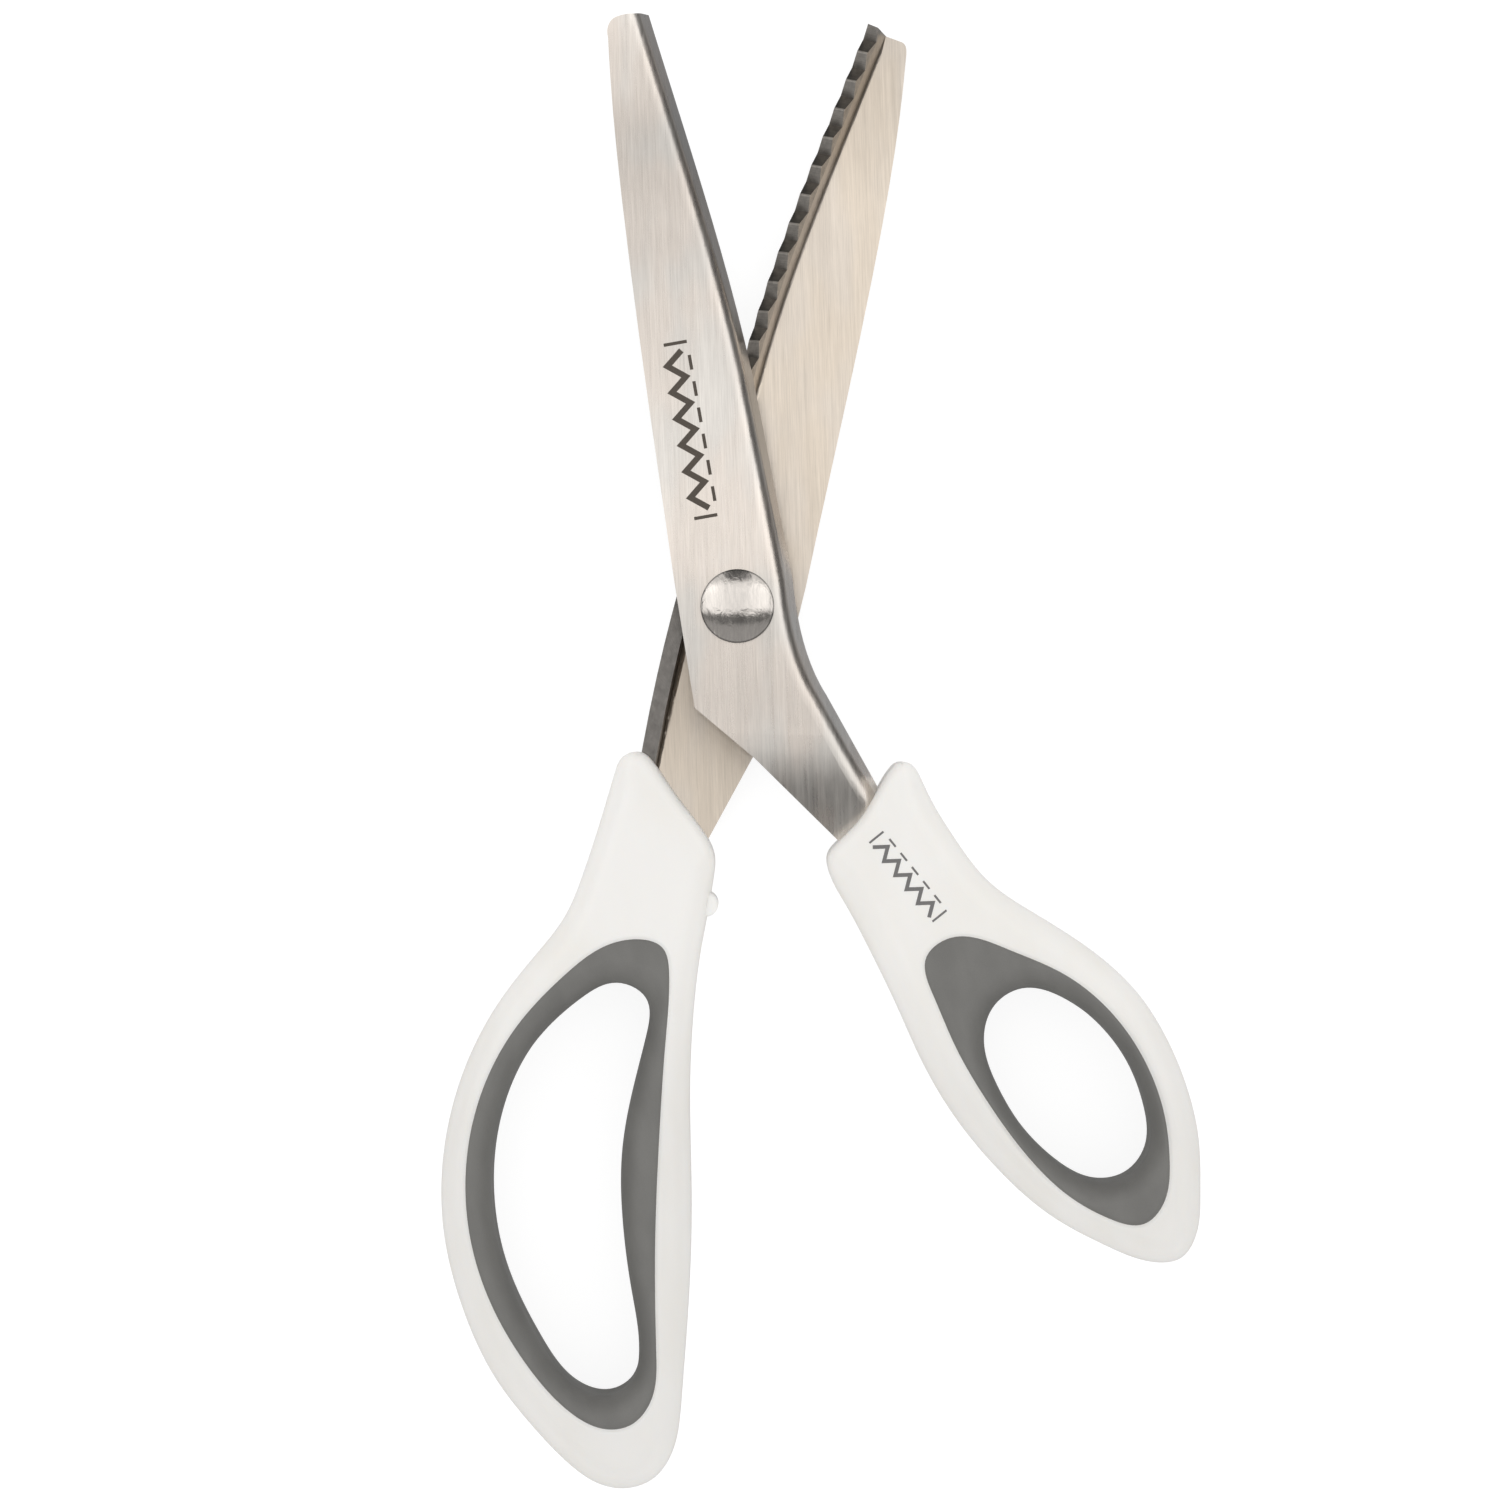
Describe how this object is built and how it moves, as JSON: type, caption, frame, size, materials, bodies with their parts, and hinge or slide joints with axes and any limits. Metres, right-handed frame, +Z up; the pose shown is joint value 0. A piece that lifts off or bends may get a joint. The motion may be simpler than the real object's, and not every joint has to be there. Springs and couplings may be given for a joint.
{
  "type": "pinking shears",
  "caption": "Bent pinking shears with interlocking zigzag steel blades, a screw pivot and white handles with grey soft grip rings.",
  "frame": {"origin": "on the pivot axis in the resting plane, at the underside of the pivot nut", "axes": "+Z up along the pivot screw towards its domed head, +Y along the shears towards the tips, +X towards the small handle's side"},
  "size_m": [0.1202, 0.2335, 0.0158],
  "materials": {
    "steel": "brushed along the blades",
    "polished_steel": "polished",
    "plain_steel": "plain machined",
    "bearing_brass": "turned",
    "white_plastic": "satin moulded",
    "grey_soft": "matte soft",
    "white_soft": "matte soft",
    "nylon": "natural"
  },
  "bodies": {
    "finger_half": {"lower_blade": "steel", "lower_spacer": "plain_steel", "pivot_bush": "bearing_brass", "thrust_washer": "nylon", "spring_washer": "plain_steel", "large_handle": "white_plastic", "large_grip": "grey_soft", "stop_bumper": "white_soft"},
    "thumb_half": {"upper_blade": "steel", "upper_spacer": "plain_steel", "pivot_screw": "polished_steel", "pivot_nut": "plain_steel", "small_handle": "white_plastic", "small_grip": "grey_soft"}
  },
  "joints": [
    {"name": "pivot", "type": "hinge", "parent": "finger_half", "child": "thumb_half", "pos_m": [0, 0, 0.0075], "axis": [0, 0, 1], "range_deg": [-22.9, 45.5]}
  ]
}
